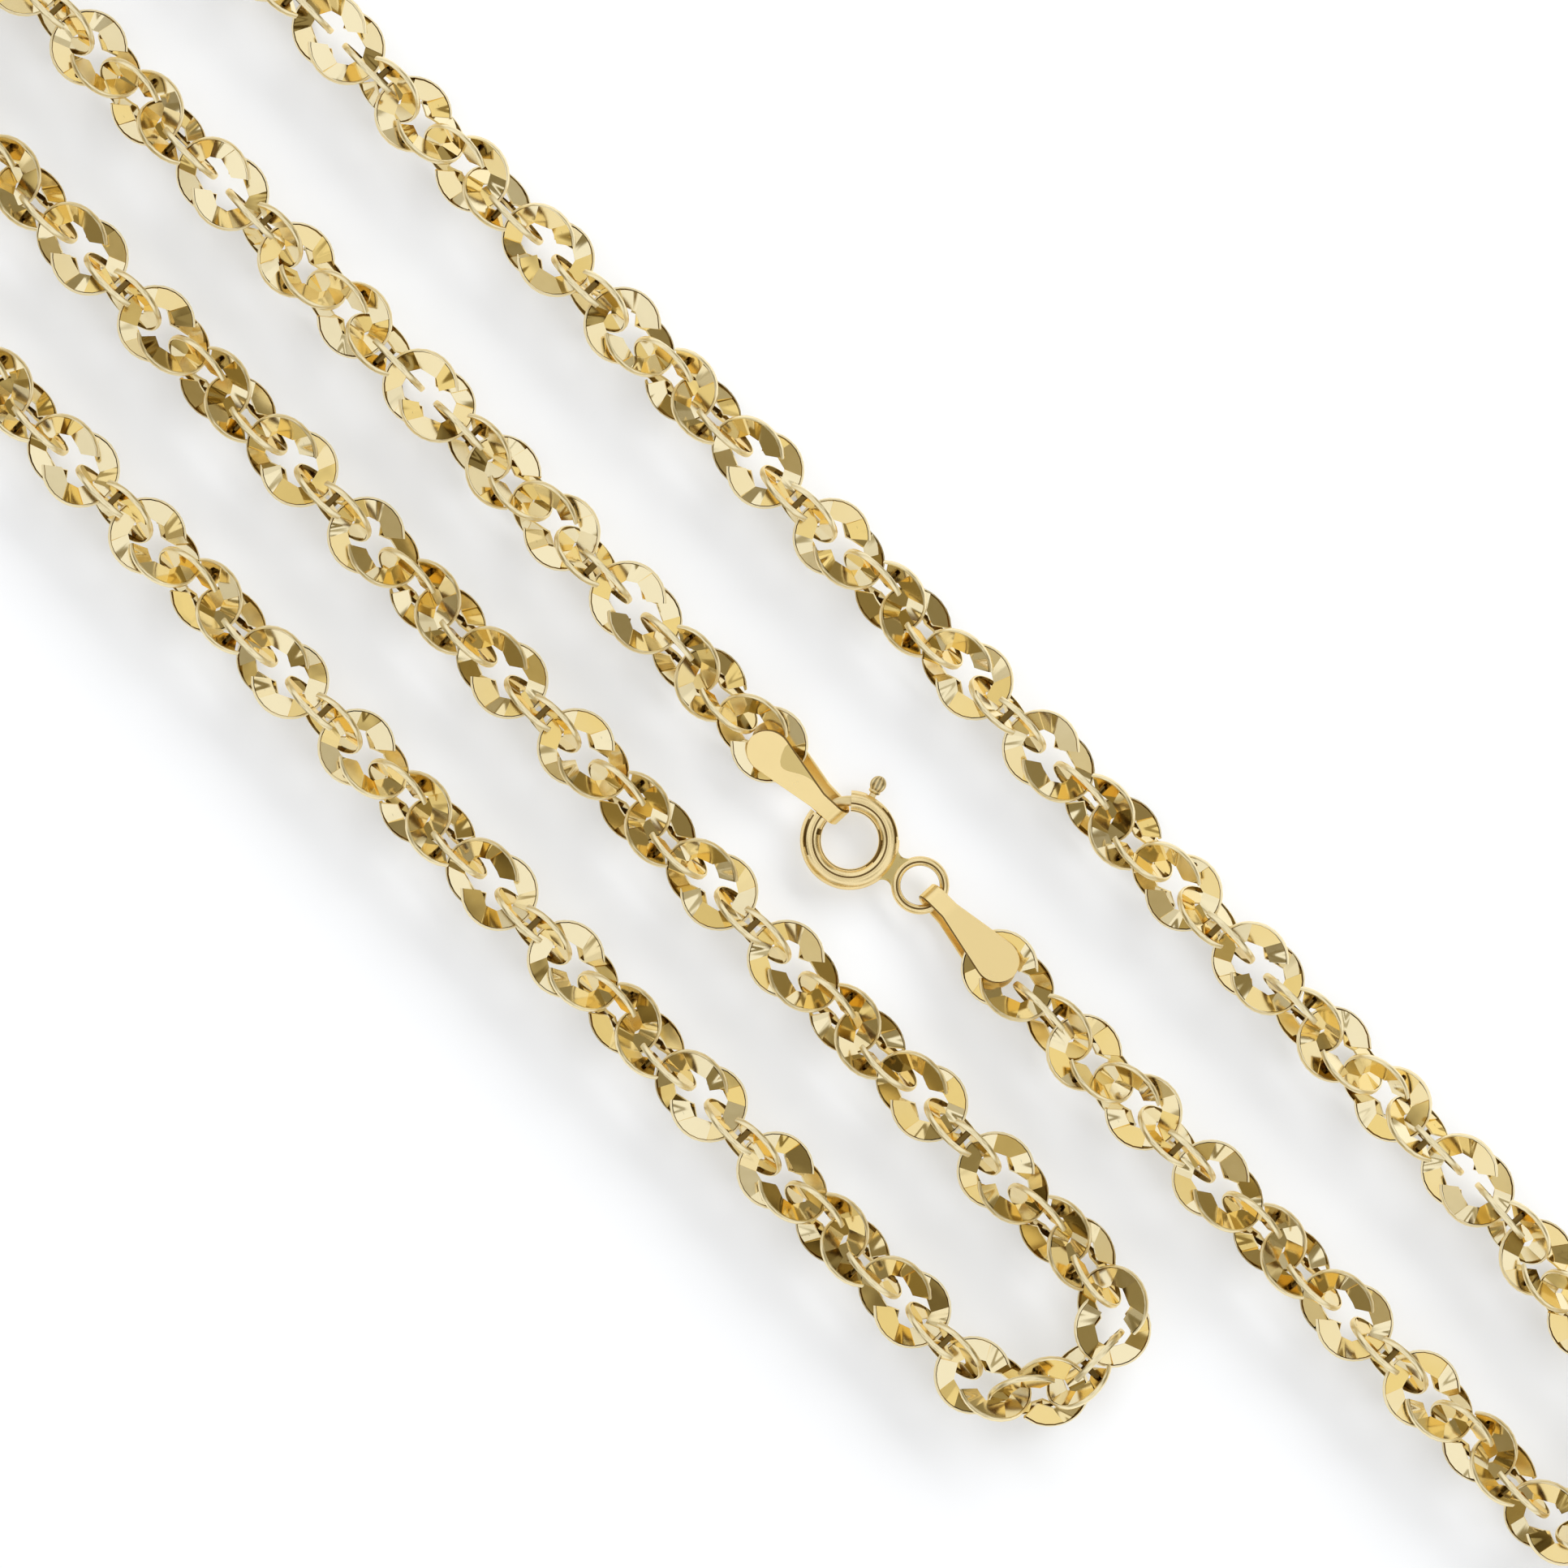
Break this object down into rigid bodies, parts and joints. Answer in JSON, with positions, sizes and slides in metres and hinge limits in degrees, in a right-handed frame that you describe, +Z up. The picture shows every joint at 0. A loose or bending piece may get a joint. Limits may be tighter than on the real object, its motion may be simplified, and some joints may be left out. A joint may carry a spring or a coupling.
{
  "type": "rope-type neck chain with spring ring clasp",
  "caption": "Gold neck chain of paired flat open rings twisted like a rope, closed with a spring ring and laid flat in rows.",
  "frame": {"origin": "middle of the laid chain's outline, on the floor it rests on", "axes": "+X along the rows, from the turns at the left to the clasp's side; +Y across the rows; +Z up from the floor"},
  "size_m": [0.1424, 0.0322, 0.0045],
  "materials": {
    "chain_gold": "polished, diamond-cut",
    "clasp_gold": "polished",
    "plate_gold": "polished"
  },
  "bodies": {
    "necklace": {"chain": "chain_gold", "spring_ring": "clasp_gold", "tongue_ring_side": "plate_gold", "tongue_eyelet_side": "plate_gold"},
    "trigger": {"trigger": "clasp_gold"}
  },
  "joints": [
    {"name": "trigger_swing", "type": "hinge", "parent": "necklace", "child": "trigger", "pos_m": [0.01015, 0.00243, 0.00107], "axis": [0, 0, 1], "range_deg": [-57, 0], "stiffness_Nm_per_rad": 0.0005, "springref_deg": 5.73}
  ]
}
